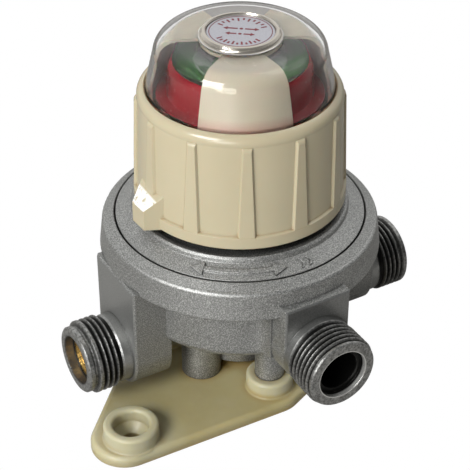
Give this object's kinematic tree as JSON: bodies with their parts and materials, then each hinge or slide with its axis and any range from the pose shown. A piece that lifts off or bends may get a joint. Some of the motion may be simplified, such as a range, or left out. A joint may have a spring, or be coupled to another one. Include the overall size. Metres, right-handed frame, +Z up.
{
  "type": "gas regulator",
  "caption": "Gas change-over regulator: die-cast body with side inlets, a threaded outlet, a ribbed selector knob under a clear indicator dome, and a flanged base plate.",
  "frame": {"origin": "on the knob's axis at the underside of the base plate", "axes": "+Z up along the knob's axis, the inlets along -X and +X, the outlet towards -Y"},
  "size_m": [0.106, 0.0884, 0.1017],
  "materials": {
    "zinc_casting": "satin",
    "cream_knob": "gloss",
    "clear_plastic": "clear gloss",
    "mask_plastic": "gloss",
    "label_foil": "satin",
    "red_plastic": "gloss",
    "green_plastic": "gloss",
    "nylon_base": "satin, translucent",
    "brass": "machined",
    "steel": "zinc plated",
    "spring_steel": "drawn wire",
    "aluminium_plate": "pressed",
    "rubber": "matt",
    "black_acetal": "satin"
  },
  "bodies": {
    "casing": {"body": "zinc_casting", "cover": "zinc_casting", "knob_snap_ring": "spring_steel", "diaphragm": "rubber", "main_spring": "spring_steel", "spring_seat": "steel", "adjusting_ring": "brass", "base_plate": "nylon_base", "plate_screws": "steel", "inlet_seat_left": "brass", "inlet_filter_left": "steel", "passage_plug_left": "brass", "check_spring_left": "spring_steel", "nozzle_left": "brass", "lever_pin_left": "steel", "inlet_seat_right": "brass", "inlet_filter_right": "steel", "passage_plug_right": "brass", "check_spring_right": "spring_steel", "nozzle_right": "brass", "lever_pin_right": "steel"},
    "selector": {"knob": "cream_knob", "dome": "clear_plastic", "window_mask": "mask_plastic", "label_plate": "label_foil", "selector_shaft": "steel", "selector_cam": "black_acetal"},
    "diaphragm_group": {"diaphragm_upper_plate": "aluminium_plate", "diaphragm_lower_plate": "aluminium_plate", "diaphragm_nut": "steel", "diaphragm_stem": "brass", "indicator_drum": "red_plastic", "indicator_liner": "green_plastic", "indicator_lens": "clear_plastic"},
    "valve_lever_left": {"lever_left": "steel", "valve_pad_left": "rubber"},
    "check_valve_left": {"check_disc_left": "black_acetal"},
    "valve_lever_right": {"lever_right": "steel", "valve_pad_right": "rubber"},
    "check_valve_right": {"check_disc_right": "black_acetal"}
  },
  "joints": [
    {"name": "knob_turn", "type": "hinge", "parent": "casing", "child": "selector", "pos_m": [0, 0, 0.0547], "axis": [0, 0, 1], "range_deg": [0, 180]},
    {"name": "diaphragm_slide", "type": "slide", "parent": "casing", "child": "diaphragm_group", "axis": [0, 0, -1], "range_m": [0, 0.002], "stiffness_N_per_m": 800, "deforming": ["main_spring", "diaphragm"]},
    {"name": "lever_left_turn", "type": "hinge", "parent": "casing", "child": "valve_lever_left", "pos_m": [-0.0191, 0, 0.0274], "axis": [0, 1, 0], "range_deg": [0, 7.6]},
    {"name": "check_left_slide", "type": "slide", "parent": "casing", "child": "check_valve_left", "axis": [0, 0, 1], "range_m": [0, 0.0015], "deforming": ["check_spring_left"]},
    {"name": "lever_right_turn", "type": "hinge", "parent": "casing", "child": "valve_lever_right", "pos_m": [0.0191, 0, 0.0274], "axis": [0, -1, 0], "range_deg": [0, 7.6]},
    {"name": "check_right_slide", "type": "slide", "parent": "casing", "child": "check_valve_right", "axis": [0, 0, 1], "range_m": [0, 0.0015], "deforming": ["check_spring_right"]}
  ],
  "couplings": [
    {"joint": "lever_left_turn", "follows": "diaphragm_slide", "rad_per_m": 65.79},
    {"joint": "lever_right_turn", "follows": "diaphragm_slide", "rad_per_m": 65.79}
  ]
}
